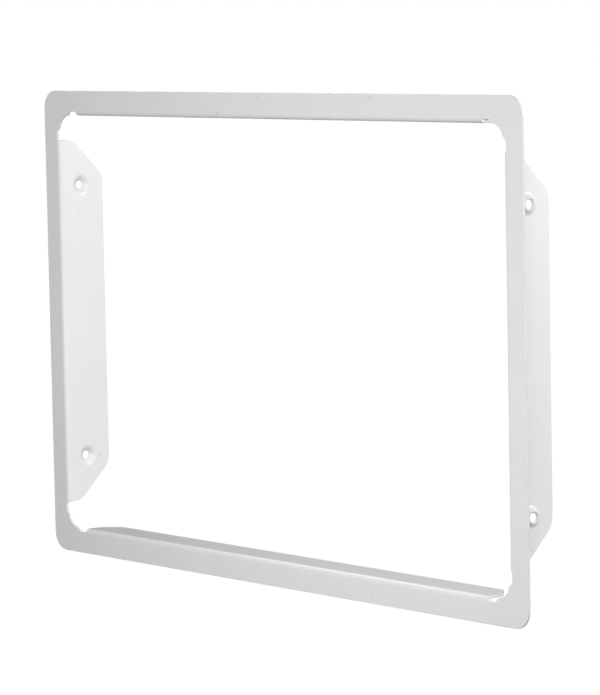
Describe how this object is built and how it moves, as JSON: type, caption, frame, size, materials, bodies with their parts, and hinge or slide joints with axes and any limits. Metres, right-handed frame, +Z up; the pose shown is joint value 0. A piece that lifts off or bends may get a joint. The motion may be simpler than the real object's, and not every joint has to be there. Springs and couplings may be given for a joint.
{
  "type": "flush mounting frame",
  "caption": "Folded sheet-steel trim frame with a rectangular opening, screw-fixing side wings and shallow stiffening returns.",
  "frame": {"origin": "middle of the opening, in the plane where the back of the face meets the wall", "axes": "+X to the right seen from the front, +Y into the wall recess, +Z up"},
  "size_m": [0.45, 0.0335, 0.3],
  "materials": {
    "face_coat": "light grey white powder coat, fine orange peel, semi-matte",
    "wing_coat": "light grey white powder coat, fine orange peel, semi-matte",
    "return_coat": "light grey white powder coat, fine orange peel, semi-matte"
  },
  "bodies": {
    "root": {"face_plate": "face_coat", "left_wing": "wing_coat", "right_wing": "wing_coat", "top_return": "return_coat", "bottom_return": "return_coat"}
  },
  "joints": []
}
